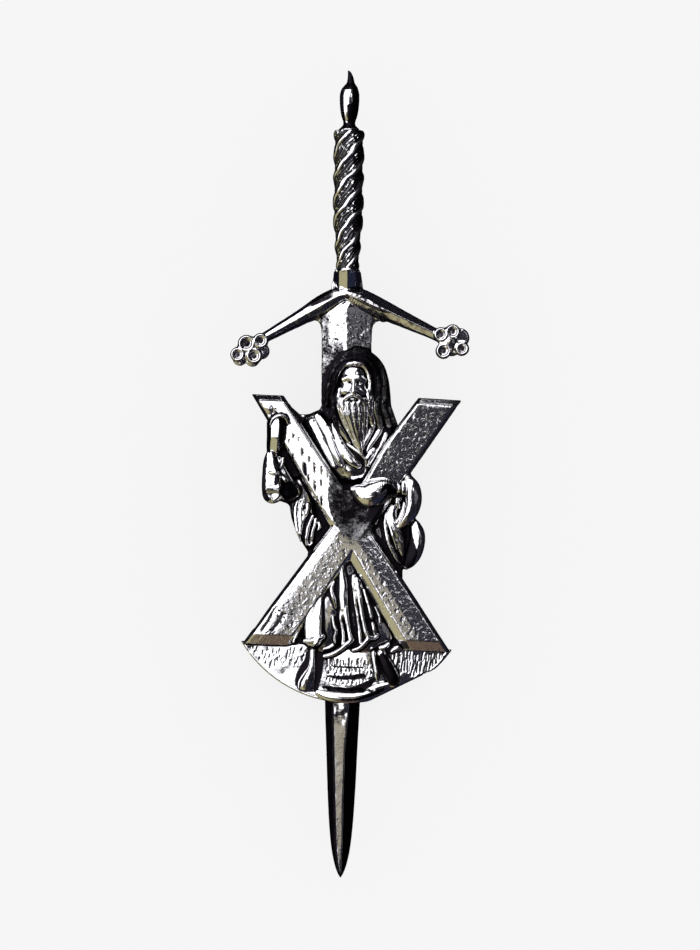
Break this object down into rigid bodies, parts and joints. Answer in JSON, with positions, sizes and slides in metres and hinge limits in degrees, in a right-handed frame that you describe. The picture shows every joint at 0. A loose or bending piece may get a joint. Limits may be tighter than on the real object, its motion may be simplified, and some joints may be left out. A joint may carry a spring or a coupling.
{
  "type": "kilt pin",
  "caption": "Cast sword-shaped kilt pin with a twisted grip and, over its blade, a robed bearded figure holding a diagonal cross; plain brooch finding on its flat back.",
  "frame": {"origin": "under the middle of the pin's box, on the surface that the finding's feet rest on", "axes": "+Z out of the front, +Y along the sword from the blade's tip to the pommel, +X to the right seen from the front"},
  "size_m": [0.03, 0.1, 0.0124],
  "materials": {
    "cast_metal": "bright cast pewter with dark antiquing in its hollows",
    "finding_metal": "plain plated steel"
  },
  "bodies": {
    "root": {"casting": "cast_metal", "pin_finding": "finding_metal"}
  },
  "joints": []
}
